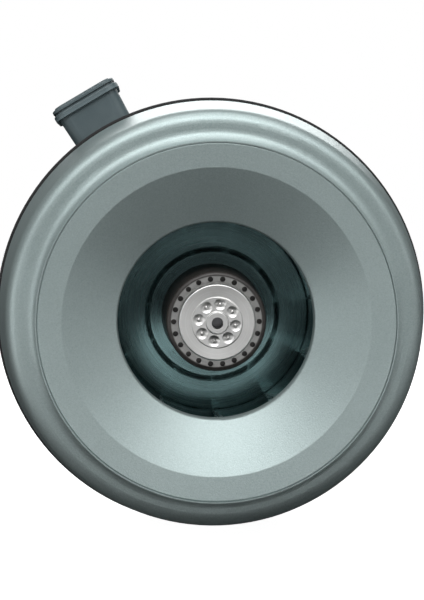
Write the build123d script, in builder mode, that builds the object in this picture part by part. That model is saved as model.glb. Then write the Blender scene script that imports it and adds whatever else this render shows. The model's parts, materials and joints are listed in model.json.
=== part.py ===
"""Inline duct fan: a pressed steel casing with an external-rotor motor and a backward-curved impeller.

Frame: millimetres, +Z up, +Y along the air flow. The origin is the centre of the inlet spigot's
open end, on the duct axis. Sheet sections are drawn as (radius, station along the axis).
"""

from build123d import *
from math import cos, pi, radians, sin
import os

os.makedirs("parts", exist_ok=True)

# ---------------------------------------------------------------- driving dimensions
SPIGOT_R = 157.0  # fits inside a round duct of 315 mm
CASING_R = 201.0
LENGTH = 240.0
GAUGE = 1.0  # casing sheet
SPIGOT_LENGTH = 36.0
SHOULDER_R = 185.9
TAPER_END = 103.0  # station where the casing reaches its full radius
SEAM_LIP = 2.2  # height of the turned lip at the seam
SEAM_Y = LENGTH / 2

BAND_WIDTH = 8.0
BAND_WALL = 1.4
BAND_GAP = 2.0  # open ends of the band, at the bottom

CREASE_R = 134.8  # where the inlet cone's ring meets its funnel
CREASE_Y = 5.5
THROAT_R = 87.7
LIP_END = 41.0

SHROUD_MOUTH_R = 91.5
IMPELLER_R = 140.0
IMPELLER_GAUGE = 1.2
SHROUD_MOUTH_Y = 38.0
SHROUD_RIM_Y = 66.0
BACKPLATE_Y = 112.0  # front of the backplate under the blades
BACKPLATE_HUB_Y = 106.5
BACKPLATE_STEP_R = (58.8, 63.6)  # a soft step round the hub
BACKPLATE_STEP = 2.6
BACKPLATE_CREASE_R = (90.5, 92.3)
BACKPLATE_CREASE = 1.8
ROTOR_RIVETS = 8
ROTOR_RIVET_RING_R = 53.5
ROTOR_RIVET_R = 1.6
BLADE_COUNT = 11
BLADE_GAUGE = 1.6
BLADE_R1 = 93.0
BLADE_R2 = 138.0
BLADE_LEAN = 52.0  # lean of the inner end from the radius
BLADE_WRAP = 27.0  # angle from the inner to the outer end
BLADE_START = 9.0
TAB_BANDS = ((99.0, 107.0), (121.0, 129.0))
TAB_LENGTH = IMPELLER_GAUGE + 0.6  # the blades' tabs are turned over behind the plate

ROTOR_FRONT_Y = 25.0
ROTOR_R = 44.3
ROTOR_BASE_R = 47.7
ROTOR_BORE_R = 41.0
ROTOR_MOUTH_R = 45.2  # wider behind the core
ROTOR_BACK_Y = 110.2
ROTOR_FLANGE_R = 57.5
HOLE_RING_R = 37.8
HOLE_COUNT = 22
HOLE_R = 2.4
HOLE_DEPTH = 3.5
END_PLATE_R = 34.4
END_PLATE_Y = 15.0
STEP_R = 22.0  # the end plate steps back to its outer ring here
STEP_HEIGHT = 0.8
RIVET_RING_R = 16.3
RIVET_COUNT = 8
RIVET_START = -9.5
HUB_RIVET_R = 1.8
HUB_RIVET_LENGTH = 8.0
DIMPLE_R = 5.1  # round hollows under the rivets
DIMPLE_DEPTH = 1.7
HUB_R = 9.7
HUB_Y = 9.0
HUB_HOLE_R = 5.1
HUB_FOOT_R = 10.9
PLATE_SEAT_R = 20.0  # of the end plate in the rotor's front
FRONT_WALL = 5.0  # of the rotor's front

SHAFT_R = 6.0
BEARING_R = 16.0
BEARING_WIDTH = 10.0
BALL_R = 3.0
BALL_COUNT = 8
BALL_PITCH_R = (SHAFT_R + BEARING_R) / 2
BALL_PLAY = 0.05
FRONT_BEARING_Y = 36.0
REAR_BEARING_Y = 102.0
BUSH_R = 19.0
CORE_R = 34.3
CORE_Y = (46.0, 92.0)
SLOT_COUNT = 12
FLANGE_Y = 111.6
FLANGE_R = 44.0
FLANGE_THICKNESS = 5.4

SUPPORT_GAUGE = 1.5
SUPPORT_Y = FLANGE_Y + FLANGE_THICKNESS
SUPPORT_R = 128.0
COLLAR_END = 150.0
VANE_COUNT = 6
VANE_GAUGE = 1.2
VANE_Y = (124.0, 162.0)
FOOT_Y = (124.0, 136.0)

BOX_ANGLE = 30.6  # the box's lean from the vertical, towards -X
BOX_Y = (131.5, 199.5)
BOX_HALF_BASE = 29.9
BOX_HALF_TOP = 31.3
BOX_BASE_H = 202.0  # heights are measured from the duct axis
BOX_TOP_H = 232.5
BOX_CORNER = 10.0
BOX_WALL = 2.5
BOX_FLOOR_H = 210.0
LID_TOP_H = 243.6
LID_OVERHANG = 3.3
GASKET = 1.0
GLAND_H = 221.5
GLAND_BORE_R = 4.0
CABLE_R = 3.5
LEAD_R = 26.0  # where the motor's lead leaves the stator
LEAD_RUN_Y = 131.0  # station of the lead behind the support plate
LEAD_HOLE_Y = 152.0  # where the lead goes through the casing into the box


# ---------------------------------------------------------------- helpers
def station(y):
    """The plane across the duct axis at a station, facing the inlet."""
    return Plane.XZ.offset(-y)


def sheet_section(points, bends, gauge, side=Side.LEFT):
    """Section of a pressed sheet: one face's line with its bends, and the other a gauge away."""
    with BuildSketch(Plane.XY) as section:
        with BuildLine():
            FilletPolyline(*points, radius=bends)
            offset(amount=gauge, side=side)
        make_face()
    return section.sketch


def closed_section(*points):
    """A section with straight sides."""
    with BuildSketch(Plane.XY) as section:
        with BuildLine():
            Polyline(*points, close=True)
        make_face()
    return section.sketch


def ring_section(r_in, r_out, y_in, y_out):
    """A rectangular section of a ring."""
    return closed_section((r_in, y_in), (r_out, y_in), (r_out, y_out), (r_in, y_out))


def save(builder, name):
    """Label a finished piece and write it."""
    builder.part.label = name
    export_step(builder.part, f"parts/{name}.step")


# ---------------------------------------------------------------- casing
lip_y = SEAM_Y - GAUGE
inlet_line = [
    (SPIGOT_R, 0),
    (SPIGOT_R, SPIGOT_LENGTH),
    (SHOULDER_R, SPIGOT_LENGTH),
    (CASING_R, TAPER_END),
    (CASING_R, lip_y),
    (CASING_R + SEAM_LIP, lip_y),
]
outlet_line = [(r, LENGTH - y) for r, y in inlet_line]
CASING_BENDS = [13, 14, 80, 0]

lean = radians(BOX_ANGLE)
box_plane = Plane(origin=(0, 0, 0), x_dir=(cos(lean), 0, sin(lean)), z_dir=(-sin(lean), 0, cos(lean)))
box_axis = Axis((0, 0, 0), (-sin(lean), 0, cos(lean)))
lead_plane = Plane(origin=(0, 0, 0), x_dir=box_axis.direction, z_dir=(-cos(lean), 0, -sin(lean)))
foot_screw_spots = [(x, y) for x in (-13, 13) for y in (BOX_Y[0] + 6, BOX_Y[1] - 7)]
FOOT_SCREW_R = 1.6

# the outlet half filled to the axis, out to its outer and to its inner face
body_line = outlet_line[:-1]
with BuildSketch(Plane.XY) as outlet_form:
    with BuildLine():
        FilletPolyline(*body_line, radius=CASING_BENDS[:-1])
        Polyline(body_line[-1], (0, body_line[-1][1]), (0, LENGTH), body_line[0])
    make_face()

with BuildSketch(Plane.XY) as outlet_inside:
    with BuildLine():
        FilletPolyline(*body_line, radius=CASING_BENDS[:-1])
        offset(amount=GAUGE, side=Side.RIGHT, closed=False)
        Polyline(
            (CASING_R - GAUGE, body_line[-1][1]),
            (0, body_line[-1][1]),
            (0, LENGTH),
            (SPIGOT_R - GAUGE, LENGTH),
        )
    make_face()

with BuildPart() as inlet_casing_half:
    revolve(sheet_section(inlet_line, CASING_BENDS, GAUGE), axis=Axis.Y)
save(inlet_casing_half, "inlet_casing_half")

vane_angles = [30 + 360 / VANE_COUNT * i for i in range(VANE_COUNT)]
rivet_y = sum(FOOT_Y) / 2
RIVET_SPREAD = 1.6  # degrees from the vane to each of its rivets
RIVET_R = 1.6
rivet_turns = [radians(angle + side) for angle in vane_angles for side in (-RIVET_SPREAD, RIVET_SPREAD)]
rivet_planes = [
    Plane(origin=(0, rivet_y, 0), x_dir=(0, 1, 0), z_dir=(cos(turn), 0, sin(turn)))
    for turn in rivet_turns
]
with BuildPart() as vane_rivets:
    for out in rivet_planes:
        with BuildSketch(out.offset(CASING_R - 3.2)):
            Circle(RIVET_R)
        extrude(amount=3.2)
        with BuildSketch(out.offset(CASING_R)):
            Circle(2.8)
        extrude(amount=1.1, taper=20)
save(vane_rivets, "vane_rivets")

with BuildPart() as outlet_casing_half:
    revolve(sheet_section(outlet_line, CASING_BENDS, GAUGE, Side.RIGHT), axis=Axis.Y)
    with BuildSketch(box_plane.offset(150)):
        with Locations((0, LEAD_HOLE_Y)):
            Circle(CABLE_R + 2.5)
        with Locations(*foot_screw_spots):
            Circle(FOOT_SCREW_R)
    extrude(amount=60, mode=Mode.SUBTRACT)
    for out in rivet_planes:
        with BuildSketch(out.offset(CASING_R - 6)):
            Circle(RIVET_R)
        extrude(amount=12, mode=Mode.SUBTRACT)
save(outlet_casing_half, "outlet_casing_half")

# the band is a U over both lips, open by a narrow gap at the bottom
band_r = CASING_R + SEAM_LIP
with BuildPart() as seam_band:
    with BuildSketch(Plane.XY):
        with BuildLine():
            FilletPolyline(
                (CASING_R, SEAM_Y - BAND_WIDTH / 2),
                (band_r + BAND_WALL, SEAM_Y - BAND_WIDTH / 2),
                (band_r + BAND_WALL, SEAM_Y + BAND_WIDTH / 2),
                (CASING_R, SEAM_Y + BAND_WIDTH / 2),
                radius=1.2,
            )
            Polyline(
                (CASING_R, SEAM_Y + BAND_WIDTH / 2),
                (CASING_R, SEAM_Y + GAUGE),
                (band_r, SEAM_Y + GAUGE),
                (band_r, SEAM_Y - GAUGE),
                (CASING_R, SEAM_Y - GAUGE),
                (CASING_R, SEAM_Y - BAND_WIDTH / 2),
            )
        make_face()
    revolve(axis=Axis.Y)
    with Locations((0, SEAM_Y, -band_r)):
        Box(BAND_GAP, 2 * BAND_WIDTH, 8, mode=Mode.SUBTRACT)
save(seam_band, "seam_band")

# ---------------------------------------------------------------- inlet cone
CONE_FLANGE_R = SPIGOT_R - GAUGE
CONE_RIM_Y = 0.2
CONE_BENDS = [1.4, 4, 3]
cone_line = [
    (CONE_FLANGE_R, 16),
    (CONE_FLANGE_R, CONE_RIM_Y),
    (CREASE_R, CREASE_Y),
    (THROAT_R, 31),
    (THROAT_R, LIP_END),
]
with BuildPart() as inlet_cone:
    revolve(sheet_section(cone_line, CONE_BENDS, GAUGE, Side.RIGHT), axis=Axis.Y)
save(inlet_cone, "inlet_cone")

# ---------------------------------------------------------------- impeller
shroud_line = [
    (SHROUD_MOUTH_R, SHROUD_MOUTH_Y),
    (SHROUD_MOUTH_R + 1.5, 51),
    (IMPELLER_R, SHROUD_RIM_Y),
]
shroud_bend = 13
with BuildPart() as impeller_shroud:
    revolve(sheet_section(shroud_line, [shroud_bend], IMPELLER_GAUGE, Side.RIGHT), axis=Axis.Y)
save(impeller_shroud, "impeller_shroud")

with BuildSketch(Plane.XZ) as blade_section:
    with BuildLine():
        wrap = radians(BLADE_WRAP)
        TangentArc(
            (BLADE_R1, 0),
            (BLADE_R2 * cos(wrap), BLADE_R2 * sin(wrap)),
            tangent=(cos(radians(BLADE_LEAN)), sin(radians(BLADE_LEAN))),
        )
        offset(amount=BLADE_GAUGE / 2, side=Side.BOTH)
    make_face()

with BuildSketch(station(BACKPLATE_Y)) as blade_ring:
    with PolarLocations(0, BLADE_COUNT, start_angle=BLADE_START):
        add(blade_section.sketch_local)

with BuildSketch(station(BACKPLATE_Y)) as blade_tabs:
    add(blade_ring.sketch_local)
    with BuildSketch(station(BACKPLATE_Y), mode=Mode.INTERSECT):
        for inner, outer in TAB_BANDS:
            Circle(outer)
            Circle(inner, mode=Mode.SUBTRACT)

# everything in front of the shroud's blade side is cut off the blades
with BuildSketch(Plane.XY) as shroud_side:
    with BuildLine():
        FilletPolyline(*shroud_line, radius=[shroud_bend])
        Polyline(
            shroud_line[-1],
            (IMPELLER_R + 20, SHROUD_RIM_Y),
            (IMPELLER_R + 20, 20),
            (60, 20),
            (60, SHROUD_MOUTH_Y),
            shroud_line[0],
        )
    make_face()

with BuildPart() as impeller_blades:
    extrude(blade_ring.sketch, amount=BACKPLATE_Y - SHROUD_MOUTH_Y)
    extrude(blade_tabs.sketch, amount=-TAB_LENGTH)
    revolve(shroud_side.sketch, axis=Axis.Y, mode=Mode.SUBTRACT)
save(impeller_blades, "impeller_blades")

backplate_line = [
    (ROTOR_BASE_R + 0.4, BACKPLATE_HUB_Y),
    (BACKPLATE_STEP_R[0], BACKPLATE_HUB_Y),
    (BACKPLATE_STEP_R[1], BACKPLATE_HUB_Y + BACKPLATE_STEP),
    (BACKPLATE_CREASE_R[0], BACKPLATE_Y - BACKPLATE_CREASE),
    (BACKPLATE_CREASE_R[1], BACKPLATE_Y),
    (IMPELLER_R, BACKPLATE_Y),
]
BACKPLATE_BENDS = [3, 4, 0.8, 0.6]
with BuildPart() as impeller_backplate:
    revolve(
        sheet_section(backplate_line, BACKPLATE_BENDS, IMPELLER_GAUGE, Side.LEFT),
        axis=Axis.Y,
    )
    extrude(blade_tabs.sketch, amount=-TAB_LENGTH, mode=Mode.SUBTRACT)
    with BuildSketch(station(BACKPLATE_HUB_Y)):
        with PolarLocations(ROTOR_RIVET_RING_R, ROTOR_RIVETS):
            Circle(ROTOR_RIVET_R)
    extrude(amount=-5, mode=Mode.SUBTRACT)
save(impeller_backplate, "impeller_backplate")

with BuildPart() as impeller_rivets:
    with BuildSketch(station(BACKPLATE_HUB_Y)):
        with PolarLocations(ROTOR_RIVET_RING_R, ROTOR_RIVETS):
            Circle(ROTOR_RIVET_R)
    extrude(amount=-(ROTOR_BACK_Y - BACKPLATE_HUB_Y))
    with BuildSketch(station(BACKPLATE_HUB_Y)):
        with PolarLocations(ROTOR_RIVET_RING_R, ROTOR_RIVETS):
            Circle(ROTOR_RIVET_R + 0.8)
    extrude(amount=0.6)
    fillet(impeller_rivets.edges().group_by(Axis.Y)[0], radius=0.4)
save(impeller_rivets, "impeller_rivets")

# ---------------------------------------------------------------- rotor
flange_front = BACKPLATE_HUB_Y + IMPELLER_GAUGE
plate_back = ROTOR_FRONT_Y + FRONT_WALL
with BuildPart() as rotor_can:
    with BuildSketch(Plane.XY):
        with BuildLine():
            FilletPolyline(
                (PLATE_SEAT_R, ROTOR_FRONT_Y),
                (ROTOR_R, ROTOR_FRONT_Y),
                (ROTOR_R + 0.3, 60),
                (ROTOR_BASE_R, BACKPLATE_HUB_Y - 8),
                (ROTOR_BASE_R, flange_front),
                radius=[4, 200, 60],
            )
            Polyline(
                (ROTOR_BASE_R, flange_front),
                (ROTOR_FLANGE_R, flange_front),
                (ROTOR_FLANGE_R, ROTOR_BACK_Y),
                (ROTOR_MOUTH_R, ROTOR_BACK_Y),
                (ROTOR_MOUTH_R, CORE_Y[1] + 6),
                (ROTOR_BORE_R, CORE_Y[1] + 6),
                (ROTOR_BORE_R, plate_back),
                (PLATE_SEAT_R, plate_back),
                (PLATE_SEAT_R, ROTOR_FRONT_Y),
            )
        make_face()
    revolve(axis=Axis.Y)
    with BuildSketch(station(ROTOR_FRONT_Y)):
        with PolarLocations(HOLE_RING_R, HOLE_COUNT):
            Circle(HOLE_R)
    extrude(amount=-HOLE_DEPTH, mode=Mode.SUBTRACT)
    with BuildSketch(station(flange_front)):
        with PolarLocations(ROTOR_RIVET_RING_R, ROTOR_RIVETS):
            Circle(ROTOR_RIVET_R)
    extrude(amount=-5, mode=Mode.SUBTRACT)
save(rotor_can, "rotor_can")

# the end plate closes the rotor's front and carries the hub and the shaft
shaft_front = END_PLATE_Y + 4
hub_back = 32.0
dimple_face = END_PLATE_Y - STEP_HEIGHT
dimple_ball_r = (DIMPLE_R**2 + DIMPLE_DEPTH**2) / (2 * DIMPLE_DEPTH)
with BuildPart() as rotor_end_plate:
    with BuildSketch(Plane.XY):
        with BuildLine():
            FilletPolyline(
                (HUB_HOLE_R, dimple_face),
                (STEP_R, dimple_face),
                (STEP_R + 0.6, END_PLATE_Y),
                (END_PLATE_R - 0.8, END_PLATE_Y),
                (END_PLATE_R, ROTOR_FRONT_Y),
                radius=[0.4, 0.4, 1.6],
            )
            Polyline(
                (END_PLATE_R, ROTOR_FRONT_Y),
                (PLATE_SEAT_R, ROTOR_FRONT_Y),
                (PLATE_SEAT_R, plate_back),
                (SHAFT_R + 9, plate_back),
                (SHAFT_R + 4, hub_back),
                (SHAFT_R, hub_back),
                (SHAFT_R, shaft_front),
                (HUB_HOLE_R, shaft_front),
                (HUB_HOLE_R, dimple_face),
            )
        make_face()
    revolve(axis=Axis.Y)
    # shallow round dimples under the rivets
    with Locations(station(dimple_face)):
        with PolarLocations(RIVET_RING_R, RIVET_COUNT, start_angle=RIVET_START):
            with Locations((0, 0, dimple_ball_r - DIMPLE_DEPTH)):
                Sphere(dimple_ball_r, mode=Mode.SUBTRACT)
    with BuildSketch(station(END_PLATE_Y)):
        with PolarLocations(RIVET_RING_R, RIVET_COUNT, start_angle=RIVET_START):
            Circle(HUB_RIVET_R)
    extrude(amount=-HUB_RIVET_LENGTH, mode=Mode.SUBTRACT)
    with BuildSketch(Plane.XY):
        with BuildLine():
            FilletPolyline(
                (HUB_HOLE_R, HUB_Y),
                (HUB_R, HUB_Y),
                (HUB_R + 0.2, dimple_face),
                (HUB_FOOT_R, dimple_face),
                radius=[1, 0.6],
            )
            Polyline(
                (HUB_FOOT_R, dimple_face),
                (HUB_FOOT_R, END_PLATE_Y),
                (HUB_HOLE_R, END_PLATE_Y),
                (HUB_HOLE_R, HUB_Y),
            )
        make_face()
    revolve(axis=Axis.Y)
save(rotor_end_plate, "rotor_end_plate")

dimple_floor = dimple_face + DIMPLE_DEPTH
with BuildPart() as hub_rivets:
    with BuildSketch(station(dimple_floor)):
        with PolarLocations(RIVET_RING_R, RIVET_COUNT, start_angle=RIVET_START):
            Circle(HUB_RIVET_R)
    extrude(amount=-(END_PLATE_Y + HUB_RIVET_LENGTH - dimple_floor))
    with Locations(station(dimple_floor)):
        with PolarLocations(RIVET_RING_R, RIVET_COUNT, start_angle=RIVET_START):
            Sphere(HUB_RIVET_R)
save(hub_rivets, "hub_rivets")

core_length = CORE_Y[1] - CORE_Y[0]
with BuildPart() as rotor_core:
    revolve(ring_section(CORE_R + 0.45, ROTOR_BORE_R, *CORE_Y), axis=Axis.Y)
save(rotor_core, "rotor_core")

with BuildPart() as rotor_cage_rings:
    revolve(ring_section(CORE_R + 1.2, ROTOR_BORE_R, CORE_Y[0] - 5, CORE_Y[0]), axis=Axis.Y)
    revolve(ring_section(CORE_R + 1.2, ROTOR_BORE_R, CORE_Y[1], CORE_Y[1] + 5), axis=Axis.Y)
save(rotor_cage_rings, "rotor_cage_rings")

shaft_end = REAR_BEARING_Y + BEARING_WIDTH + 4
clip_y = REAR_BEARING_Y + BEARING_WIDTH
with BuildPart() as rotor_shaft:
    revolve(ring_section(0, SHAFT_R, shaft_front, shaft_end), axis=Axis.Y)
    revolve(
        ring_section(SHAFT_R - 0.6, SHAFT_R + 1, clip_y, clip_y + 1),
        axis=Axis.Y,
        mode=Mode.SUBTRACT,
    )
    chamfer(rotor_shaft.edges().group_by(Axis.Y)[-1], length=0.6)
save(rotor_shaft, "rotor_shaft")

with BuildPart() as shaft_circlip:
    with BuildSketch(station(clip_y)):
        Circle(SHAFT_R + 2.2)
        Circle(SHAFT_R - 0.6, mode=Mode.SUBTRACT)
        with Locations((0, SHAFT_R + 1)):
            Rectangle(3, 8, mode=Mode.SUBTRACT)
    extrude(amount=-1)
save(shaft_circlip, "shaft_circlip")


# ---------------------------------------------------------------- bearings
SHOULDER = 2.8  # height of a bearing ring's shoulder


def bearing_ring(y, r_in, r_out):
    """One ring of a ball bearing, with its ball groove."""
    with BuildPart() as ring:
        revolve(ring_section(r_in, r_out, y, y + BEARING_WIDTH), axis=Axis.Y)
        fillet(ring.edges(), radius=0.4)
        with Locations((0, y + BEARING_WIDTH / 2, 0)):
            Torus(BALL_PITCH_R, BALL_R + BALL_PLAY, rotation=(90, 0, 0), mode=Mode.SUBTRACT)
    return ring


def bearing_balls(y):
    """The balls of a bearing."""
    with BuildPart() as balls:
        with Locations(station(y + BEARING_WIDTH / 2)):
            with PolarLocations(BALL_PITCH_R, BALL_COUNT):
                Sphere(BALL_R)
    return balls


def bearing_cage(y):
    """The cage that keeps the balls apart, with a pocket round each."""
    with BuildPart() as cage:
        mid = y + BEARING_WIDTH / 2
        section = ring_section(BALL_PITCH_R - 1, BALL_PITCH_R + 1, mid - 3.7, mid + 3.7)
        revolve(section, axis=Axis.Y)
        for i in range(BALL_COUNT):
            turn = 2 * pi * i / BALL_COUNT
            out = Plane(origin=(0, mid, 0), x_dir=(0, 1, 0), z_dir=(cos(turn), 0, sin(turn)))
            with BuildSketch(out):
                Circle(BALL_R + BALL_PLAY)
            extrude(amount=BEARING_R, mode=Mode.SUBTRACT)
    return cage


def bearing_shields(y):
    """The two thin shields pressed into the outer ring."""
    with BuildPart() as shields:
        for face in (y + 0.5, y + BEARING_WIDTH - 1.0):
            section = ring_section(SHAFT_R + SHOULDER + 0.4, BEARING_R - SHOULDER, face, face + 0.5)
            revolve(section, axis=Axis.Y)
    return shields


for place, y in (("front", FRONT_BEARING_Y), ("rear", REAR_BEARING_Y)):
    save(bearing_ring(y, BEARING_R - SHOULDER, BEARING_R), f"{place}_bearing_outer_ring")
    save(bearing_ring(y, SHAFT_R, SHAFT_R + SHOULDER), f"{place}_bearing_inner_ring")
    save(bearing_balls(y), f"{place}_bearing_balls")
    save(bearing_cage(y), f"{place}_bearing_cage")
    save(bearing_shields(y), f"{place}_bearing_shields")

# ---------------------------------------------------------------- stator
bush_front = FRONT_BEARING_Y
lead_spot = (-LEAD_R * sin(lean), LEAD_R * cos(lean))
BUSH_WALL = 0.5  # of the soft bush round the lead
seat_end = FRONT_BEARING_Y + BEARING_WIDTH + 0.8
SCREW_RING_R = 32.0
SCREW_COUNT = 4
SUPPORT_SCREW_R = 2.1
with BuildPart() as stator_flange:
    with BuildSketch(Plane.XY):
        with BuildLine():
            Polyline(
                (BEARING_R, bush_front),
                (BUSH_R, bush_front),
                (BUSH_R, FLANGE_Y),
                (FLANGE_R, FLANGE_Y),
                (FLANGE_R, SUPPORT_Y),
                (BEARING_R, SUPPORT_Y),
                (BEARING_R, REAR_BEARING_Y),
                (BEARING_R - 2.5, REAR_BEARING_Y),
                (BEARING_R - 2.5, seat_end),
                (BEARING_R, seat_end),
                close=True,
            )
        make_face()
    revolve(axis=Axis.Y)
    with BuildSketch(station(SUPPORT_Y)):
        with PolarLocations(SCREW_RING_R, SCREW_COUNT, start_angle=45):
            Circle(SUPPORT_SCREW_R)
    extrude(amount=4.4, mode=Mode.SUBTRACT)
    with BuildSketch(station(SUPPORT_Y)):
        with Locations(lead_spot):
            Circle(CABLE_R + BUSH_WALL)
    extrude(amount=SUPPORT_Y - FLANGE_Y, mode=Mode.SUBTRACT)
save(stator_flange, "stator_flange")

with BuildPart() as preload_washer:
    revolve(ring_section(BEARING_R - 2.4, BEARING_R - 0.1, seat_end - 0.8, seat_end), axis=Axis.Y)
save(preload_washer, "preload_washer")

slot_width = 6.5
slot_inner = 23.0
slot_outer = 33.0
with BuildSketch(Plane.XZ) as slot_ring:
    with PolarLocations((slot_inner + slot_outer) / 2, SLOT_COUNT, start_angle=15):
        RectangleRounded(slot_outer - slot_inner, slot_width, 1.2)

with BuildSketch(Plane.XZ) as mouth_ring:
    with PolarLocations((slot_outer + CORE_R) / 2, SLOT_COUNT, start_angle=15):
        Rectangle(6, 2.2)

with BuildPart() as stator_core:
    revolve(ring_section(BUSH_R, CORE_R, *CORE_Y), axis=Axis.Y)
    with BuildSketch(station(CORE_Y[1])):
        add(slot_ring.sketch_local)
        add(mouth_ring.sketch_local)
    extrude(amount=core_length, mode=Mode.SUBTRACT)
save(stator_core, "stator_core")

with BuildPart() as stator_windings:
    revolve(ring_section(slot_inner - 1, slot_outer - 0.5, CORE_Y[0] - 7, CORE_Y[0]), axis=Axis.Y)
    revolve(ring_section(slot_inner - 1, slot_outer - 0.5, CORE_Y[1], CORE_Y[1] + 8), axis=Axis.Y)
    fillet(stator_windings.edges().group_by(Axis.Y)[0], radius=2.5)
    fillet(stator_windings.edges().group_by(Axis.Y)[-1], radius=2.5)
    with BuildSketch(station(CORE_Y[1])):
        add(slot_ring.sketch_local)
    extrude(amount=core_length)
save(stator_windings, "stator_windings")

# ---------------------------------------------------------------- motor support
support_line = [
    (BEARING_R + 0.5, SUPPORT_Y),
    (SUPPORT_R, SUPPORT_Y),
    (SUPPORT_R - 2, COLLAR_END),
]
SUPPORT_BEND = 9
with BuildSketch(Plane.XY) as support_form:
    with BuildLine():
        FilletPolyline(*support_line, radius=SUPPORT_BEND)
        Polyline(support_line[-1], (0, COLLAR_END), (0, SUPPORT_Y), support_line[0])
    make_face()

with BuildPart() as support_screws:
    with BuildSketch(station(SUPPORT_Y + SUPPORT_GAUGE)):
        with PolarLocations(SCREW_RING_R, SCREW_COUNT, start_angle=45):
            Circle(SUPPORT_SCREW_R)
    extrude(amount=SUPPORT_GAUGE + 4.4)
    with BuildSketch(station(SUPPORT_Y + SUPPORT_GAUGE)):
        with PolarLocations(SCREW_RING_R, SCREW_COUNT, start_angle=45):
            Circle(3.8)
    extrude(amount=-3)
    with BuildSketch(station(SUPPORT_Y + SUPPORT_GAUGE + 3)):
        with PolarLocations(SCREW_RING_R, SCREW_COUNT, start_angle=45):
            RegularPolygon(1.7, 6, major_radius=False)
    extrude(amount=1.8, mode=Mode.SUBTRACT)
save(support_screws, "support_screws")

with BuildPart() as motor_support_plate:
    revolve(
        sheet_section(support_line, [SUPPORT_BEND], SUPPORT_GAUGE, Side.LEFT),
        axis=Axis.Y,
    )
    with BuildSketch(station(SUPPORT_Y)):
        with Locations(lead_spot):
            Circle(CABLE_R + BUSH_WALL)
    extrude(amount=-SUPPORT_GAUGE, mode=Mode.SUBTRACT)
    with BuildSketch(box_plane.offset(SUPPORT_R - 12)):
        with Locations((0, LEAD_RUN_Y)):
            Circle(CABLE_R + 2)
    extrude(amount=20, mode=Mode.SUBTRACT)
    with BuildSketch(station(SUPPORT_Y)):
        with PolarLocations(SCREW_RING_R, SCREW_COUNT, start_angle=45):
            Circle(SUPPORT_SCREW_R)
    extrude(amount=-SUPPORT_GAUGE, mode=Mode.SUBTRACT)
save(motor_support_plate, "motor_support_plate")

with BuildPart() as bearing_cap:
    revolve(ring_section(0, BEARING_R, SUPPORT_Y - 0.8, SUPPORT_Y + SUPPORT_GAUGE), axis=Axis.Y)
    back = SUPPORT_Y + SUPPORT_GAUGE
    revolve(ring_section(0, BEARING_R + 3, back, back + 1.6), axis=Axis.Y)
    fillet(bearing_cap.edges().group_by(Axis.Y)[-1], radius=1)
save(bearing_cap, "bearing_cap")

# vanes from the support's collar to the casing, each with a foot along the casing
with BuildPart(mode=Mode.PRIVATE) as vane_feet:
    for angle in vane_angles:
        turn = radians(angle)
        out = Plane(origin=(0, rivet_y, 0), x_dir=(0, 1, 0), z_dir=(cos(turn), 0, sin(turn)))
        with BuildSketch(out.offset(CASING_R - 8)):
            Rectangle(FOOT_Y[1] - FOOT_Y[0], 18)
        extrude(amount=8)
    revolve(outlet_inside.sketch, axis=Axis.Y, mode=Mode.INTERSECT)
    with BuildSketch(Plane.XY) as set_in:
        add(outlet_inside.sketch)
        offset(amount=-VANE_GAUGE)
    revolve(set_in.sketch, axis=Axis.Y, mode=Mode.SUBTRACT)

with BuildPart() as guide_vanes:
    for angle in vane_angles:
        turn = radians(angle)
        with BuildSketch(Plane(origin=(0, 0, 0), x_dir=(cos(turn), 0, sin(turn)),
                               z_dir=(-sin(turn), 0, cos(turn)))):
            Polygon(
                (SUPPORT_R - 6, VANE_Y[0]),
                (CASING_R, VANE_Y[0]),
                (CASING_R, VANE_Y[1]),
                (SUPPORT_R + 20, VANE_Y[1]),
                (SUPPORT_R - 6, COLLAR_END - 2),
                align=None,
            )
        extrude(amount=VANE_GAUGE / 2, both=True)
    revolve(outlet_inside.sketch, axis=Axis.Y, mode=Mode.INTERSECT)
    revolve(support_form.sketch, axis=Axis.Y, mode=Mode.SUBTRACT)
    add(vane_feet.part)
    for out in rivet_planes:
        with BuildSketch(out.offset(CASING_R - 6)):
            Circle(RIVET_R)
        extrude(amount=12, mode=Mode.SUBTRACT)
save(guide_vanes, "guide_vanes")

# ---------------------------------------------------------------- motor lead
lead_points = [
    (LEAD_R, CORE_Y[1] + 8.5),
    (LEAD_R, LEAD_RUN_Y),
    (CASING_R - 34, LEAD_RUN_Y),
    (CASING_R - 17, LEAD_HOLE_Y),
    (BOX_FLOOR_H + 4, LEAD_HOLE_Y),
]
with BuildPart() as motor_lead:
    with BuildLine(lead_plane) as lead_route:
        FilletPolyline(*lead_points, radius=[12, 30, 18])
    with BuildSketch(Plane(origin=lead_route.line @ 0, z_dir=lead_route.line % 0)):
        Circle(CABLE_R)
    sweep()
save(motor_lead, "motor_lead")


support_back = SUPPORT_Y + SUPPORT_GAUGE
with BuildPart() as lead_bush:
    with BuildSketch(station(support_back)):
        with Locations(lead_spot):
            Circle(CABLE_R + BUSH_WALL)
    extrude(amount=support_back - FLANGE_Y)
    with BuildSketch(station(support_back)):
        with Locations(lead_spot):
            Circle(CABLE_R + 2)
    extrude(amount=-0.5)
    with BuildSketch(station(FLANGE_Y)):
        with Locations(lead_spot):
            Circle(CABLE_R)
    extrude(amount=-12, mode=Mode.SUBTRACT)
save(lead_bush, "lead_bush")

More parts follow.
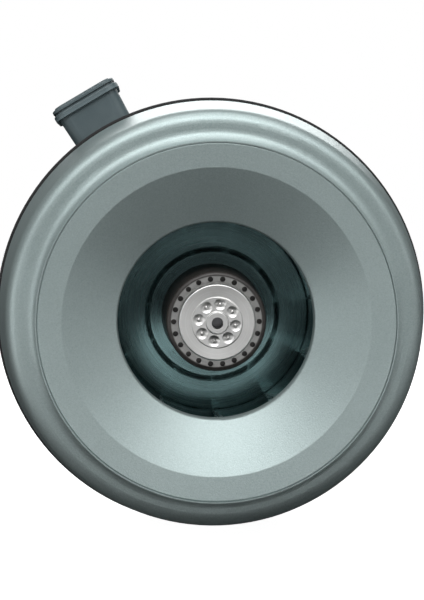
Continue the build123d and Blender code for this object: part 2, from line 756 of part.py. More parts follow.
# ---------------------------------------------------------------- terminal box
box_mid_y = sum(BOX_Y) / 2
box_length = BOX_Y[1] - BOX_Y[0]
floor_bottom = BOX_FLOOR_H - BOX_WALL
inner_half = BOX_HALF_BASE - 2.2
inner_length = box_length - 5.4
LID_POST_R = 3.6
lid_screw_spots = [(x, y) for x in (-23.5, 23.5) for y in (BOX_Y[0] + 7.8, BOX_Y[1] - 7.8)]
LID_THREAD_R = 1.5
LID_THREAD_H = 221.0
GLAND_THREAD_R = 8.0
box_low = 180.0
draft = (BOX_HALF_TOP - BOX_HALF_BASE) / (BOX_TOP_H - BOX_BASE_H)
low_half = BOX_HALF_TOP - draft * (BOX_TOP_H - box_low)
gland_plane = Plane(
    origin=(-GLAND_H * sin(lean), BOX_Y[1], GLAND_H * cos(lean)),
    x_dir=(cos(lean), 0, sin(lean)),
    z_dir=(0, 1, 0),
)

with BuildPart() as terminal_box_base:
    with BuildSketch(box_plane.offset(box_low)):
        with Locations((0, box_mid_y)):
            RectangleRounded(2 * low_half, box_length - 2 * (BOX_HALF_TOP - low_half), BOX_CORNER)
    with BuildSketch(box_plane.offset(BOX_TOP_H)):
        with Locations((0, box_mid_y)):
            RectangleRounded(2 * BOX_HALF_TOP, box_length, BOX_CORNER)
    loft()
    with BuildSketch(box_plane.offset(BOX_FLOOR_H)):
        with Locations((0, box_mid_y)):
            RectangleRounded(2 * inner_half, inner_length, BOX_CORNER - 3)
    extrude(amount=BOX_TOP_H - BOX_FLOOR_H, mode=Mode.SUBTRACT)
    with BuildSketch(box_plane.offset(box_low)):
        with Locations((0, box_mid_y)):
            RectangleRounded(2 * (low_half - BOX_WALL), inner_length - 3, BOX_CORNER - 3)
        with Locations(*foot_screw_spots):
            Circle(4, mode=Mode.SUBTRACT)
    extrude(amount=floor_bottom - box_low, mode=Mode.SUBTRACT)
    with BuildSketch(box_plane.offset(floor_bottom)):
        with Locations(*lid_screw_spots):
            Circle(LID_POST_R)
    extrude(amount=BOX_TOP_H - floor_bottom)
    with BuildSketch(box_plane.offset(LID_THREAD_H)):
        with Locations(*lid_screw_spots):
            Circle(LID_THREAD_R + 0.08)
    extrude(amount=BOX_TOP_H - LID_THREAD_H, mode=Mode.SUBTRACT)
    with BuildSketch(box_plane.offset(box_low)):
        with Locations(*foot_screw_spots):
            Circle(FOOT_SCREW_R)
        with Locations((0, LEAD_HOLE_Y)):
            Circle(CABLE_R + 2)
    extrude(amount=BOX_FLOOR_H - box_low, mode=Mode.SUBTRACT)
    with BuildSketch(gland_plane):
        Circle(GLAND_THREAD_R)
    extrude(amount=-12, mode=Mode.SUBTRACT)
    revolve(outlet_form.sketch, axis=Axis.Y, mode=Mode.SUBTRACT)
save(terminal_box_base, "terminal_box_base")

with BuildPart() as box_foot_screws:
    with BuildSketch(box_plane.offset(184)):
        with Locations(*foot_screw_spots):
            Circle(FOOT_SCREW_R)
    extrude(amount=BOX_FLOOR_H - 184)
    with BuildSketch(box_plane.offset(BOX_FLOOR_H)):
        with Locations(*foot_screw_spots):
            Circle(2.8)
    extrude(amount=1.8)
    fillet(box_foot_screws.edges().group_by(box_axis)[-1], radius=0.7)
    with BuildSketch(box_plane.offset(BOX_FLOOR_H + 0.8)):
        with Locations(*foot_screw_spots):
            Rectangle(0.8, 3.4)
            Rectangle(3.4, 0.8)
    extrude(amount=1.0, mode=Mode.SUBTRACT)
save(box_foot_screws, "box_foot_screws")

with BuildPart() as box_gasket:
    with BuildSketch(box_plane.offset(BOX_TOP_H)):
        with Locations((0, box_mid_y)):
            RectangleRounded(2 * BOX_HALF_TOP - 1, box_length - 1, BOX_CORNER - 0.5)
            RectangleRounded(2 * inner_half + 1, inner_length + 1, BOX_CORNER - 3, mode=Mode.SUBTRACT)
    extrude(amount=GASKET)
save(box_gasket, "box_gasket")

# the lid: a lower bead, a groove, an upper bead and a flat top, over a shallow hollow
lid_seat = BOX_TOP_H + GASKET
lid_tiers = [  # overhang past the base, bottom, top, edge rounding
    (LID_OVERHANG, BOX_TOP_H - 0.7, 237.2, 1.9),
    (0.3, 237.2, 239.2, 0),
    (2.1, 239.2, 242.2, 1.4),
    (-1.2, 242.2, LID_TOP_H, 1.0),
]
LID_CEILING = 241.0
LID_HEAD_R = 3.1
LID_HEAD_SEAT = 239.4
with BuildPart() as terminal_box_lid:
    for over, low, high, edge_r in lid_tiers:
        with BuildSketch(box_plane.offset(low)):
            with Locations((0, box_mid_y)):
                RectangleRounded(2 * (BOX_HALF_TOP + over), box_length + 2 * over, BOX_CORNER + over)
        extrude(amount=high - low)
        if edge_r:
            fillet(terminal_box_lid.edges(Select.LAST).group_by(box_axis)[-1], radius=edge_r)
    with BuildSketch(box_plane.offset(BOX_TOP_H - 0.7)):
        with Locations((0, box_mid_y)):
            RectangleRounded(2 * BOX_HALF_TOP + 1, box_length + 1, BOX_CORNER + 0.5)
    extrude(amount=lid_seat - BOX_TOP_H + 0.7, mode=Mode.SUBTRACT)
    with BuildSketch(box_plane.offset(lid_seat)):
        with Locations((0, box_mid_y)):
            RectangleRounded(2 * inner_half + 1, inner_length + 1, BOX_CORNER - 3)
        with Locations(*lid_screw_spots):
            Circle(LID_POST_R + 1, mode=Mode.SUBTRACT)
    extrude(amount=LID_CEILING - lid_seat, mode=Mode.SUBTRACT)
    with BuildSketch(box_plane.offset(lid_seat)):
        with Locations(*lid_screw_spots):
            Circle(LID_THREAD_R)
    extrude(amount=LID_TOP_H - lid_seat, mode=Mode.SUBTRACT)
    with BuildSketch(box_plane.offset(LID_HEAD_SEAT)):
        with Locations(*lid_screw_spots):
            Circle(LID_HEAD_R + 0.4)
    extrude(amount=LID_TOP_H - LID_HEAD_SEAT, mode=Mode.SUBTRACT)
save(terminal_box_lid, "terminal_box_lid")

with BuildPart() as lid_screws:
    with BuildSketch(box_plane.offset(LID_THREAD_H + 1.5)):
        with Locations(*lid_screw_spots):
            Circle(LID_THREAD_R)
    extrude(amount=LID_HEAD_SEAT - LID_THREAD_H - 1.5)
    with BuildSketch(box_plane.offset(LID_HEAD_SEAT)):
        with Locations(*lid_screw_spots):
            Circle(LID_HEAD_R)
    extrude(amount=2.6)
    fillet(lid_screws.edges().group_by(box_axis)[-1], radius=0.8)
    with BuildSketch(box_plane.offset(LID_HEAD_SEAT + 1.2)):
        with Locations(*lid_screw_spots):
            Rectangle(0.9, 4.2)
            Rectangle(4.2, 0.9)
    extrude(amount=2, mode=Mode.SUBTRACT)
save(lid_screws, "lid_screws")

# ---------------------------------------------------------------- inside the box
BLOCK_X = -16.0
BLOCK_WIDTH = 14.0
POLE_PITCH = 8.4
POLE_COUNT = 5
block_y = box_mid_y + 1
block_length = POLE_PITCH * POLE_COUNT
BLOCK_TOP_H = 224.0
WIRE_R = 1.0
WIRE_IN_H = 216.0
CLAMP_R = 2.0
pole_ys = [block_y + (i - (POLE_COUNT - 1) / 2) * POLE_PITCH for i in range(POLE_COUNT)]
clamp_spots = [(BLOCK_X + dx, y) for dx in (-3.6, 3.6) for y in pole_ys]
with BuildPart() as terminal_block:
    with BuildSketch(box_plane.offset(BOX_FLOOR_H)):
        with Locations((BLOCK_X, block_y)):
            Rectangle(BLOCK_WIDTH, block_length)
    extrude(amount=BLOCK_TOP_H - BOX_FLOOR_H)
    chamfer(terminal_block.edges().group_by(box_axis)[-1], length=1.2)
    with BuildSketch(box_plane.offset(BLOCK_TOP_H)):
        with Locations(*[(BLOCK_X, y + POLE_PITCH / 2) for y in pole_ys[:-1]]):
            Rectangle(BLOCK_WIDTH, 1.4)
    extrude(amount=-5, mode=Mode.SUBTRACT)
    with BuildSketch(box_plane.offset(WIRE_IN_H + 1.6)):
        with Locations(*clamp_spots):
            Circle(CLAMP_R)
    extrude(amount=BLOCK_TOP_H, mode=Mode.SUBTRACT)
    for y in pole_ys:
        with BuildSketch(Plane(
            origin=box_plane.from_local_coords((BLOCK_X + BLOCK_WIDTH / 2, y, WIRE_IN_H)),
            x_dir=(0, 1, 0),
            z_dir=box_plane.x_dir,
        )):
            Circle(WIRE_R + 0.4)
        extrude(amount=-BLOCK_WIDTH, mode=Mode.SUBTRACT)
save(terminal_block, "terminal_block")

with BuildPart() as terminal_screws:
    with BuildSketch(box_plane.offset(WIRE_IN_H + 1.6)):
        with Locations(*clamp_spots):
            Circle(CLAMP_R)
    extrude(amount=4.5)
    with BuildSketch(box_plane.offset(WIRE_IN_H + 5.1)):
        with Locations(*clamp_spots):
            Rectangle(0.7, 4.2)
    extrude(amount=2, mode=Mode.SUBTRACT)
save(terminal_screws, "terminal_screws")

CAPACITOR_X = 15.5
CAPACITOR_H = 222.5
CAPACITOR_R = 10.5
CAPACITOR_Y = (146.0, 186.0)
capacitor_plane = Plane(
    origin=box_plane.from_local_coords((CAPACITOR_X, CAPACITOR_Y[0], CAPACITOR_H)),
    x_dir=box_plane.x_dir,
    z_dir=(0, 1, 0),
)
with BuildPart() as start_capacitor:
    with BuildSketch(capacitor_plane):
        Circle(CAPACITOR_R)
    extrude(amount=CAPACITOR_Y[1] - CAPACITOR_Y[0])
    fillet(start_capacitor.edges(), radius=1.2)
save(start_capacitor, "start_capacitor")

with BuildPart() as capacitor_saddle:
    with BuildSketch(box_plane.offset(BOX_FLOOR_H)):
        with Locations((CAPACITOR_X, sum(CAPACITOR_Y) / 2)):
            Rectangle(17, 16)
    extrude(amount=7)
    add(start_capacitor.part, mode=Mode.SUBTRACT)
save(capacitor_saddle, "capacitor_saddle")

with BuildPart() as earth_screw:
    with BuildSketch(box_plane.offset(BOX_FLOOR_H)):
        with Locations((0, BOX_Y[0] + 8.5)):
            Circle(4)
    extrude(amount=0.8)
    with BuildSketch(box_plane.offset(BOX_FLOOR_H + 0.8)):
        with Locations((0, BOX_Y[0] + 8.5)):
            RegularPolygon(3, 6, major_radius=False)
    extrude(amount=2.2)
save(earth_screw, "earth_screw")

wire_turn = 2.2
with BuildPart() as lead_wires:
    for i, y in enumerate(pole_ys[:4]):
        over_h = 219 + 2.4 * i
        side_x = -1.2 if i % 2 else 1.2
        side_y = LEAD_HOLE_Y + (1.3 if i > 1 else -1.3)
        with BuildLine() as wire_route:
            FilletPolyline(
                *[box_plane.from_local_coords(point) for point in (
                    (side_x, side_y, BOX_FLOOR_H + 4),
                    (side_x, side_y, over_h),
                    (BLOCK_X + BLOCK_WIDTH / 2 + 3.5, y, over_h),
                    (BLOCK_X + BLOCK_WIDTH / 2 + 3.5, y, WIRE_IN_H),
                    (BLOCK_X + 2, y, WIRE_IN_H),
                )],
                radius=[wire_turn, wire_turn * 0.6, wire_turn * 0.6],
            )
        with BuildSketch(Plane(origin=wire_route.line @ 0, z_dir=wire_route.line % 0)):
            Circle(WIRE_R)
        sweep()
save(lead_wires, "lead_wires")

# ---------------------------------------------------------------- cable gland
GLAND_FLATS = 19.0
with BuildPart() as gland_body:
    with BuildSketch(gland_plane.offset(-10)):
        Circle(GLAND_THREAD_R)
    extrude(amount=10)
    with BuildSketch(gland_plane):
        RegularPolygon(GLAND_FLATS / 2, 6, major_radius=False)
    extrude(amount=5)
    with BuildSketch(gland_plane.offset(5)):
        Circle(GLAND_THREAD_R)
    extrude(amount=9)
    with BuildSketch(gland_plane.offset(-10)):
        Circle(GLAND_BORE_R + 1)
    extrude(amount=24, mode=Mode.SUBTRACT)
    with BuildSketch(gland_plane.offset(6)):
        Circle(GLAND_BORE_R + 2.4)
    extrude(amount=8, mode=Mode.SUBTRACT)
save(gland_body, "gland_body")

with BuildPart() as gland_seal:
    with BuildSketch(gland_plane.offset(6)):
        Circle(GLAND_BORE_R + 2.4)
        Circle(GLAND_BORE_R, mode=Mode.SUBTRACT)
    extrude(amount=8)
save(gland_seal, "gland_seal")

with BuildPart() as gland_dome_nut:
    with BuildSketch(gland_plane.offset(6)):
        RegularPolygon(GLAND_FLATS / 2 + 0.5, 6, major_radius=False)
    extrude(amount=7)
    with BuildSketch(gland_plane.offset(13)):
        Circle(GLAND_FLATS / 2)
    extrude(amount=6)
    fillet(gland_dome_nut.edges().group_by(Axis.Y)[-1], radius=3.5)
    with BuildSketch(gland_plane.offset(6)):
        Circle(GLAND_THREAD_R)
    extrude(amount=8, mode=Mode.SUBTRACT)
    with BuildSketch(gland_plane.offset(6)):
        Circle(GLAND_BORE_R + 0.3)
    extrude(amount=20, mode=Mode.SUBTRACT)
save(gland_dome_nut, "gland_dome_nut")

with BuildPart() as gland_locknut:
    inner_face = (box_length - inner_length) / 2
    with BuildSketch(gland_plane.offset(-inner_face)):
        RegularPolygon(GLAND_FLATS / 2, 6, major_radius=False)
        Circle(GLAND_THREAD_R, mode=Mode.SUBTRACT)
    extrude(amount=-4)
save(gland_locknut, "gland_locknut")

# ---------------------------------------------------------------- the lead's grommet and clips
GROMMET_R = CABLE_R + 2  # in its groove
GROMMET_LIP = 1.4
with BuildPart() as box_grommet:
    for low, high, r in (
        (floor_bottom - GROMMET_LIP, floor_bottom, GROMMET_R + 2),
        (floor_bottom, BOX_FLOOR_H, GROMMET_R),
        (BOX_FLOOR_H, BOX_FLOOR_H + GROMMET_LIP, GROMMET_R + 2),
    ):
        with BuildSketch(box_plane.offset(low)):
            with Locations((0, LEAD_HOLE_Y)):
                Circle(r)
                Circle(CABLE_R, mode=Mode.SUBTRACT)
        extrude(amount=high - low)
save(box_grommet, "box_grommet")

CLIP_RS = (66.0, 102.0)
clip_base_y = support_back
with BuildPart() as lead_clips:
    for r in CLIP_RS:
        with BuildSketch(box_plane.offset(r - 4)):
            with Locations((0, (clip_base_y + LEAD_RUN_Y) / 2)):
                Rectangle(4, LEAD_RUN_Y - clip_base_y)
            with Locations((0, LEAD_RUN_Y)):
                Circle(CABLE_R + 1.2)
            with Locations((0, clip_base_y + 0.6)):
                Rectangle(16, 1.2)
        extrude(amount=8)
    with BuildSketch(box_plane.offset(CLIP_RS[0] - 4)):
        with Locations((0, LEAD_RUN_Y)):
            Circle(CABLE_R)
    extrude(amount=CLIP_RS[1] - CLIP_RS[0] + 8, mode=Mode.SUBTRACT)
save(lead_clips, "lead_clips")
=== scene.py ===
"""Looks of the inline duct fan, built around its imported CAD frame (metres, +Y along the air flow)."""

import json
from math import cos, sin, tau

import bmesh
import bpy
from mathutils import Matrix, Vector


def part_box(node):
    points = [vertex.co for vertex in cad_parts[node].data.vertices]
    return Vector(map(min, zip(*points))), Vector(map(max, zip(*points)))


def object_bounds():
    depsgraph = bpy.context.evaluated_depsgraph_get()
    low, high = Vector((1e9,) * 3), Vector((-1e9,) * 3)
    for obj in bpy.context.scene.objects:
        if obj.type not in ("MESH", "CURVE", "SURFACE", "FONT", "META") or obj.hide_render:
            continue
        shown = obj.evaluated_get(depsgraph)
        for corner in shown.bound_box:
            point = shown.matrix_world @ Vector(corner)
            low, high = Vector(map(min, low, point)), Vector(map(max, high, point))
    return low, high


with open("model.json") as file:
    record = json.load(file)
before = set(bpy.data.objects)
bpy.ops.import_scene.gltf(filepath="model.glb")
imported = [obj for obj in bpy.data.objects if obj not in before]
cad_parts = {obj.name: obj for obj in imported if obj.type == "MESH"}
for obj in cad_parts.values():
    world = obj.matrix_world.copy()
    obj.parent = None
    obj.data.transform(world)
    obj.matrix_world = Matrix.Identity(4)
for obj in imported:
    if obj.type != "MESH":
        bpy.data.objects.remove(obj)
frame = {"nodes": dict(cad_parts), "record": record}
cad_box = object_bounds()
nodes = frame["nodes"]

# ---------------------------------------------------------------- sizes
ROTOR_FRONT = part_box("rotor_can")[0][1]
BARE_DEPTH = (0.0004, 0.0012)  # the rotor's front is bare to this depth, then painted
BARE_RADIUS = (0.0396, 0.0408)  # and out to this radius
EDGE_POINTINESS = (0.52, 0.6)  # where an edge starts to be worn, and where it is fully worn
FINE_CUT = 3200.0  # tool lines per metre

CAMERA_PLACE = Vector((-0.0553, -1.0578, 0.0953))
CAMERA_AIM = Vector((-0.0005, 0.1, 0.0139))
SENSOR_HEIGHT = 36.0
LENS = 74.0

FLOOR_GAP = 0.0002  # under the lowest point of the casing
FLOOR_REACH = 9.0
FLOOR_RINGS = 24
FLOOR_SIDES = 96
FLOOR_CENTRE_Y = 0.12
FLOOR_GLOW = 0.97

ROOM_TINT = (0.82, 0.9, 0.92, 1.0)
ROOM_STRENGTH = 0.03
WHITE = (1.0, 1.0, 1.0, 1.0)


# ---------------------------------------------------------------- node helpers
class Shader:
    """A material's node tree, with short calls for the nodes that the finishes share."""

    def __init__(self, name):
        self.material = bpy.data.materials.new(name)
        self.material.use_nodes = True
        self.tree = self.material.node_tree
        self.tree.nodes.clear()
        output = self.node("ShaderNodeOutputMaterial")
        self.bsdf = self.node("ShaderNodeBsdfPrincipled")
        self.link(self.bsdf.outputs[0], output.inputs["Surface"])
        self.place = self.node("ShaderNodeTexCoord").outputs["Object"]
        self.relief = None

    def node(self, kind, **settings):
        made = self.tree.nodes.new(kind)
        for key, value in settings.items():
            setattr(made, key, value)
        return made

    def link(self, source, target):
        self.tree.links.new(source, target)

    def set(self, **values):
        """Fixed numbers on the shader's own sockets."""
        for key, value in values.items():
            self.bsdf.inputs[key.replace("_", " ")].default_value = value

    def feed(self, node, socket, value):
        """Link a socket, or set its number."""
        target = node.inputs[socket]
        if isinstance(value, bpy.types.NodeSocket):
            self.link(value, target)
        else:
            target.default_value = value

    def math(self, operation, a, b=0.0):
        made = self.node("ShaderNodeMath", operation=operation)
        self.feed(made, 0, a)
        self.feed(made, 1, b)
        return made.outputs[0]

    def blend(self, *weighted):
        """The sum of values, each times its weight."""
        total = None
        for value, weight in weighted:
            share = self.math("MULTIPLY", value, weight)
            total = share if total is None else self.math("ADD", total, share)
        return total

    def noise(self, scale, detail=3.0, rough=0.55, place=None):
        made = self.node("ShaderNodeTexNoise")
        self.feed(made, "Vector", place or self.place)
        self.feed(made, "Scale", scale)
        self.feed(made, "Detail", detail)
        self.feed(made, "Roughness", rough)
        return made.outputs["Fac"]

    def flecks(self, scale):
        """Small cells with random tones: two separate channels of them."""
        cells = self.node("ShaderNodeTexVoronoi")
        self.feed(cells, "Vector", self.place)
        self.feed(cells, "Scale", scale)
        channels = self.node("ShaderNodeSeparateColor")
        self.link(cells.outputs["Color"], channels.inputs[0])
        return channels.outputs[0], channels.outputs[1]

    def ramp(self, value, low, high, out_low=0.0, out_high=1.0, smooth=True):
        """value from low..high mapped to out_low..out_high, held at both ends."""
        kind = "SMOOTHSTEP" if smooth else "LINEAR"
        made = self.node("ShaderNodeMapRange", interpolation_type=kind)
        for index, number in enumerate((value, low, high, out_low, out_high)):
            self.feed(made, index, number)
        return made.outputs[0]

    def mix(self, factor, a, b):
        """From colour a to colour b; each is a colour or a socket."""
        made = self.node("ShaderNodeMix", data_type="RGBA")
        self.feed(made, 0, factor)
        for index, value in ((6, a), (7, b)):
            self.feed(made, index, (*value, 1.0) if isinstance(value, tuple) else value)
        return made.outputs[2]

    def stretched(self, factors):
        made = self.node("ShaderNodeMapping")
        self.link(self.place, made.inputs["Vector"])
        made.inputs["Scale"].default_value = factors
        return made.outputs[0]

    def axis_place(self):
        """Distance from the duct axis and station along it, in metres."""
        parts = self.node("ShaderNodeSeparateXYZ")
        self.link(self.place, parts.inputs[0])
        squares = [self.math("POWER", parts.outputs[i], 2.0) for i in (0, 2)]
        return self.math("SQRT", self.math("ADD", *squares)), parts.outputs[1]

    def turning(self, lines_per_metre):
        """Fine lines round the duct axis, as a spinning or turning tool leaves them."""
        radius, station = self.axis_place()
        joined = self.node("ShaderNodeCombineXYZ")
        self.link(radius, joined.inputs[0])
        self.link(station, joined.inputs[1])
        return self.noise(lines_per_metre, 4.0, 0.6, place=joined.outputs[0])

    def spun(self, amount, rotation=0.0):
        """Highlights that stretch with the turning lines round the duct axis."""
        self.set(Anisotropic=amount, Anisotropic_Rotation=rotation)
        tangent = self.node("ShaderNodeTangent", direction_type="RADIAL", axis="Y")
        self.link(tangent.outputs[0], self.bsdf.inputs["Tangent"])

    def colour(self, value):
        self.feed(self.bsdf, "Base Color", value)

    def roughness(self, value):
        self.feed(self.bsdf, "Roughness", value)

    def bump(self, value, distance, strength):
        """Add a relief of the given depth in metres; calls stack."""
        made = self.node("ShaderNodeBump")
        self.feed(made, "Height", value)
        made.inputs["Distance"].default_value = distance
        made.inputs["Strength"].default_value = strength
        if self.relief is not None:
            self.link(self.relief, made.inputs["Normal"])
        self.relief = made.outputs[0]
        self.link(self.relief, self.bsdf.inputs["Normal"])

    def edge_wear(self):
        """Where the mesh turns sharply outwards."""
        pointed = self.node("ShaderNodeNewGeometry").outputs["Pointiness"]
        return self.ramp(pointed, *EDGE_POINTINESS)


def brighter(colour, times):
    return tuple(min(1.0, channel * times) for channel in colour)


# ---------------------------------------------------------------- finishes
def casing_steel():
    """Silver-grey enamel with a metallic fleck over pressed sheet."""
    s = Shader("casing_steel")
    fleck_tone, fleck_relief = s.flecks(1150.0)
    grain = s.noise(760.0, 3.0, 0.65)
    cloud = s.noise(7.0, 3.0, 0.5)
    tone = s.blend((fleck_tone, 0.16), (grain, 0.42), (cloud, 0.30))
    s.colour(s.mix(
        s.ramp(tone, 0.22, 0.66, smooth=False), (0.272, 0.338, 0.336), (0.402, 0.476, 0.473)
    ))
    s.roughness(s.math("ADD", s.blend((grain, 0.14), (cloud, 0.10)), 0.30))
    s.set(Metallic=0.5)
    s.bump(grain, 0.00022, 0.55)
    s.bump(fleck_relief, 0.00006, 0.5)
    return s.material


def impeller_steel():
    """Spun galvanised sheet, coloured dark as painted shade, with turning lines round the axis."""
    s = Shader("impeller_steel")
    lines = s.turning(2600.0)
    broad = s.turning(240.0)
    smear = s.noise(26.0, 3.0, 0.6)
    tone = s.blend((lines, 0.5), (broad, 0.5))
    # the dark base colours are painted shade: the sheet is darkened to the shade inside the fan
    s.colour(s.mix(s.ramp(tone, 0.3, 0.7), (0.098, 0.17, 0.174), (0.165, 0.255, 0.26)))
    s.roughness(s.ramp(s.blend((lines, 1.0), (smear, 0.6)), 0.5, 1.2, 0.22, 0.31))
    s.set(Metallic=1.0)
    s.spun(0.9, rotation=0.25)  # a quarter turn: the highlights run along the radius
    s.bump(lines, 0.00003, 0.4)
    s.bump(smear, 0.0005, 0.1)
    return s.material


def turned_metal(name, dark, light, lines_per_metre, rough):
    """Bright metal faced on a lathe."""
    s = Shader(name)
    lines = s.turning(lines_per_metre)
    patch = s.noise(90.0, 3.0, 0.6)
    tone = s.blend((lines, 0.6), (patch, 0.4))
    s.colour(s.mix(s.ramp(tone, 0.3, 0.7), dark, light))
    s.roughness(s.ramp(tone, 0.3, 0.7, *rough))
    s.set(Metallic=1.0)
    s.spun(0.55)
    s.bump(lines, 0.00003, 0.5)
    s.bump(patch, 0.0001, 0.25)
    return s.material


def cast_metal(name, dark, light, rough=(0.38, 0.6), grit=1500.0):
    """Cast or rolled metal with a fine grit and darker hollows."""
    s = Shader(name)
    grain = s.noise(grit, 4.0, 0.65)
    patch = s.noise(60.0, 4.0, 0.6)
    tone = s.blend((grain, 0.45), (patch, 0.55))
    base = s.mix(s.ramp(tone, 0.32, 0.68), dark, light)
    s.colour(s.mix(s.math("MULTIPLY", s.edge_wear(), 0.5), base, brighter(light, 1.6)))
    s.roughness(s.ramp(tone, 0.3, 0.7, *rough))
    s.set(Metallic=1.0)
    s.bump(grain, 0.00009, 0.5)
    s.bump(patch, 0.0005, 0.15)
    return s.material


def moulded(name, dark, light, rough=(0.42, 0.6), grit=2300.0, edge=1.5):
    """Moulded plastic with a fine spark texture and paler rubbed edges."""
    s = Shader(name)
    spark = s.noise(grit, 2.0, 0.6)
    flow = s.noise(22.0, 3.0, 0.5)
    base = s.mix(s.ramp(s.blend((spark, 0.4), (flow, 0.6)), 0.3, 0.7), dark, light)
    s.colour(s.mix(s.math("MULTIPLY", s.edge_wear(), 0.6), base, brighter(light, edge)))
    s.roughness(s.ramp(s.blend((spark, 0.5), (flow, 0.5)), 0.3, 0.7, *rough))
    s.bump(spark, 0.00006, 0.6)
    s.bump(flow, 0.0006, 0.08)
    return s.material


def rotor_paint():
    """Black motor paint with its front ring faced bare."""
    s = Shader("rotor_paint")
    grain = s.noise(1500.0, 4.0, 0.65)
    patch = s.noise(60.0, 4.0, 0.6)
    lines = s.turning(FINE_CUT)
    radius, station = s.axis_place()
    depths = [ROTOR_FRONT + depth for depth in BARE_DEPTH]
    front = s.ramp(station, *depths, 1.0, 0.0)
    inside = s.ramp(radius, *BARE_RADIUS, 1.0, 0.0)
    bare = s.math("MULTIPLY", front, inside)
    tone = s.ramp(s.blend((grain, 0.5), (patch, 0.5)), 0.3, 0.7)
    paint = s.mix(tone, (0.012, 0.011, 0.011), (0.04, 0.034, 0.03))
    metal = s.mix(s.ramp(lines, 0.3, 0.7), (0.27, 0.27, 0.265), (0.42, 0.42, 0.41))
    s.colour(s.mix(bare, paint, metal))
    s.roughness(s.ramp(grain, 0.3, 0.7, 0.34, 0.5))
    s.feed(s.bsdf, "Metallic", bare)
    s.bump(grain, 0.00008, 0.5)
    s.bump(lines, 0.00003, 0.4)
    return s.material


def core_steel():
    """Stacked electrical steel: thin sheets edge on, with a little rust."""
    s = Shader("core_steel")
    sheets = s.noise(1.0, 2.0, 0.5, place=s.stretched((60.0, 1900.0, 60.0)))
    rust = s.noise(70.0, 4.0, 0.65)
    base = s.mix(s.ramp(sheets, 0.35, 0.65), (0.10, 0.10, 0.105), (0.30, 0.30, 0.31))
    s.colour(s.mix(s.ramp(rust, 0.55, 0.75, 0.0, 0.45), base, (0.16, 0.085, 0.05)))
    s.roughness(s.ramp(sheets, 0.3, 0.7, 0.4, 0.62))
    s.set(Metallic=0.9)
    s.bump(sheets, 0.00012, 0.6)
    return s.material


def copper_wire():
    """Varnished winding wire, laid round the axis."""
    s = Shader("copper_wire")
    wires = s.node(
        "ShaderNodeTexWave", wave_type="RINGS", rings_direction="Y", wave_profile="SIN"
    )
    s.link(s.place, wires.inputs["Vector"])
    wires.inputs["Scale"].default_value = 420.0
    wires.inputs["Distortion"].default_value = 3.5
    wires.inputs["Detail"].default_value = 2.0
    varnish = s.noise(120.0, 3.0, 0.6)
    s.colour(s.mix(wires.outputs["Fac"], (0.20, 0.065, 0.022), (0.55, 0.235, 0.085)))
    s.roughness(s.ramp(varnish, 0.3, 0.7, 0.22, 0.42))
    s.set(Metallic=0.55, Coat_Weight=0.6, Coat_Roughness=0.15)
    s.bump(wires.outputs["Fac"], 0.0003, 0.8)
    return s.material


def rubber(name, tone):
    """Black rubber with a dusty bloom."""
    s = Shader(name)
    grain = s.noise(900.0, 3.0, 0.6)
    dust = s.noise(38.0, 4.0, 0.6)
    clean = (tone, tone, tone * 1.06)
    dusty = (tone * 2.4, tone * 2.4, tone * 2.5)
    s.colour(s.mix(s.ramp(dust, 0.4, 0.75), clean, dusty))
    s.roughness(s.ramp(s.blend((grain, 0.4), (dust, 0.6)), 0.3, 0.7, 0.52, 0.78))
    s.set(Specular_IOR_Level=0.38)
    s.bump(grain, 0.00012, 0.5)
    return s.material


FINISHES = {
    "casing_steel": casing_steel(),
    "impeller_steel": impeller_steel(),
    "machined_aluminium": turned_metal(
        "machined_aluminium", (0.60, 0.60, 0.59), (0.68, 0.68, 0.67), 1500.0, (0.34, 0.44)
    ),
    "bearing_steel": turned_metal(
        "bearing_steel", (0.55, 0.56, 0.58), (0.72, 0.73, 0.75), 5200.0, (0.1, 0.2)
    ),
    "fastener_steel": cast_metal(
        "fastener_steel", (0.46, 0.46, 0.45), (0.66, 0.66, 0.65), rough=(0.26, 0.42)
    ),
    "cast_aluminium": cast_metal("cast_aluminium", (0.40, 0.40, 0.405), (0.58, 0.58, 0.585)),
    "rotor_paint": rotor_paint(),
    "brass": cast_metal("brass", (0.50, 0.34, 0.12), (0.72, 0.53, 0.22), rough=(0.24, 0.4)),
    "core_steel": core_steel(),
    "copper_wire": copper_wire(),
    "band_rubber": rubber("band_rubber", 0.010),
    "box_plastic": moulded("box_plastic", (0.062, 0.088, 0.096), (0.098, 0.130, 0.140)),
    "black_plastic": moulded("black_plastic", (0.018, 0.018, 0.02), (0.04, 0.04, 0.043)),
    "lead_sheath": moulded(
        "lead_sheath", (0.025, 0.026, 0.028), (0.05, 0.052, 0.055), (0.45, 0.62), 1200.0
    ),
    "wire_sleeve": moulded(
        "wire_sleeve", (0.03, 0.075, 0.30), (0.05, 0.12, 0.42), (0.25, 0.4)
    ),
    "block_plastic": moulded(
        "block_plastic", (0.60, 0.60, 0.56), (0.74, 0.74, 0.70), edge=1.1
    ),
    "capacitor_plastic": moulded(
        "capacitor_plastic", (0.55, 0.54, 0.50), (0.68, 0.67, 0.62), edge=1.1
    ),
    "gland_plastic": moulded("gland_plastic", (0.16, 0.18, 0.19), (0.24, 0.265, 0.28)),
}

# nodes whose own finish differs from the rest of their slot
NODE_FINISHES = {
    "impeller_blades": cast_metal(
        "blade_sheet", (0.42, 0.53, 0.53), (0.58, 0.68, 0.68), rough=(0.2, 0.36), grit=900.0
    ),
    "impeller_shroud": cast_metal(
        "shroud_sheet", (0.30, 0.41, 0.41), (0.42, 0.53, 0.53), rough=(0.26, 0.42), grit=900.0
    ),
    # near-black shaft: painted shade, standing in for the dark shaded hole in the hub
    "rotor_shaft": cast_metal(
        "shaft_painted_shade", (0.05, 0.05, 0.052), (0.10, 0.10, 0.104), rough=(0.3, 0.45)
    ),
}

for part in frame["record"]["subparts"]:
    mesh = nodes[part["node"]].data
    mesh.materials.clear()
    mesh.materials.append(NODE_FINISHES.get(part["node"]) or FINISHES[part["material_slot"]])

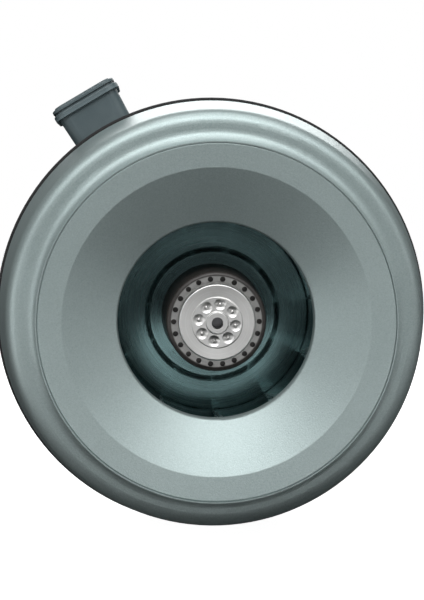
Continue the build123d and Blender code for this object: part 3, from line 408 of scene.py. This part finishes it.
# ---------------------------------------------------------------- camera
camera_data = bpy.data.cameras.new("camera")
camera_data.sensor_fit = "VERTICAL"
camera_data.sensor_height = SENSOR_HEIGHT
camera_data.lens = LENS
camera_data.clip_end = 60.0
camera = bpy.data.objects.new("camera", camera_data)
camera.location = CAMERA_PLACE
camera.rotation_euler = (CAMERA_AIM - CAMERA_PLACE).to_track_quat("-Z", "Y").to_euler()
bpy.context.scene.collection.objects.link(camera)
bpy.context.scene.camera = camera

# ---------------------------------------------------------------- light
FAN = (0, 0.05, 0)
SOFTBOXES = [  # name, place, aim, width and height in metres, watts
    ("front_high", (0, -1.35, 1.6), FAN, (1.8, 0.6), 28.5),
    ("front_middle", (0, -2.1, 0.4), FAN, (1.8, 0.6), 1.0),
    ("right_high", (0.9, -0.7, 0.9), FAN, (0.7, 0.7), 2.8),
    ("left_high", (-0.9, -0.8, 0.95), FAN, (0.7, 0.7), 4.5),
    ("left_near", (-1.0, -0.5, -0.05), FAN, (0.5, 0.7), 2.3),
    ("right_near", (1.0, -0.5, 0.1), FAN, (0.5, 0.7), 0.8),
    ("low_strip", (0, -0.75, -0.185), (0, 0.02, 0.12), (1.6, 0.12), 1.7),
    ("overhead", (0, -0.25, 1.5), (0, 0.08, 0.2), (1.2, 0.5), 7.0),
    ("behind", (0.2, 1.9, 1.3), (0, 0.2, 0), (2.0, 1.0), 26.0),
]
for name, place, aim, size, watts in SOFTBOXES:
    light_data = bpy.data.lights.new(name, "AREA")
    light_data.shape = "RECTANGLE"
    light_data.size, light_data.size_y = size
    light_data.energy = watts
    light = bpy.data.objects.new(name, light_data)
    light.location = place
    light.rotation_euler = (Vector(aim) - Vector(place)).to_track_quat("-Z", "Y").to_euler()
    light.visible_camera = False
    bpy.context.scene.collection.objects.link(light)

# the room lights the fan dimly, and is white behind it
world = bpy.data.worlds.new("studio")
world.use_nodes = True
bpy.context.scene.world = world
tree = world.node_tree
tree.nodes.clear()
choose = tree.nodes.new("ShaderNodeMixShader")
rays = tree.nodes.new("ShaderNodeLightPath")
tree.links.new(rays.outputs["Is Camera Ray"], choose.inputs[0])
for socket, tint, strength in ((1, ROOM_TINT, ROOM_STRENGTH), (2, WHITE, 1.0)):
    room = tree.nodes.new("ShaderNodeBackground")
    room.inputs["Color"].default_value = tint
    room.inputs["Strength"].default_value = strength
    tree.links.new(room.outputs[0], choose.inputs[socket])
world_out = tree.nodes.new("ShaderNodeOutputWorld")
tree.links.new(choose.outputs[0], world_out.inputs["Surface"])


# ---------------------------------------------------------------- floor
def pale_floor(level):
    """A wide pale floor, with its edge lost in the white surroundings."""
    mesh = bpy.data.meshes.new("floor")
    shape = bmesh.new()
    centre = shape.verts.new((0, FLOOR_CENTRE_Y, level))
    previous = None
    for ring in range(1, FLOOR_RINGS + 1):
        radius = FLOOR_REACH * (ring / FLOOR_RINGS) ** 2
        turns = [tau * i / FLOOR_SIDES for i in range(FLOOR_SIDES)]
        row = [
            shape.verts.new((radius * cos(turn), FLOOR_CENTRE_Y + radius * sin(turn), level))
            for turn in turns
        ]
        for i in range(FLOOR_SIDES):
            after = (i + 1) % FLOOR_SIDES
            if previous is None:
                shape.faces.new((centre, row[i], row[after]))
            else:
                shape.faces.new((previous[i], row[i], row[after], previous[after]))
        previous = row
    shape.to_mesh(mesh)
    shape.free()
    floor = bpy.data.objects.new("floor", mesh)
    bpy.context.scene.collection.objects.link(floor)
    s = Shader("floor")
    s.colour(s.mix(s.noise(3.0, 3.0, 0.5), (0.56, 0.56, 0.56), (0.6, 0.6, 0.6)))
    s.roughness(s.ramp(s.noise(40.0), 0.3, 0.7, 0.55, 0.7))
    s.set(Emission_Color=WHITE, Emission_Strength=FLOOR_GLOW)
    mesh.materials.append(s.material)
    floor.visible_diffuse = False
    floor.visible_glossy = False
    return floor


pale_floor(cad_box[0][2] - FLOOR_GAP)

bpy.context.scene.view_settings.view_transform = "Standard"
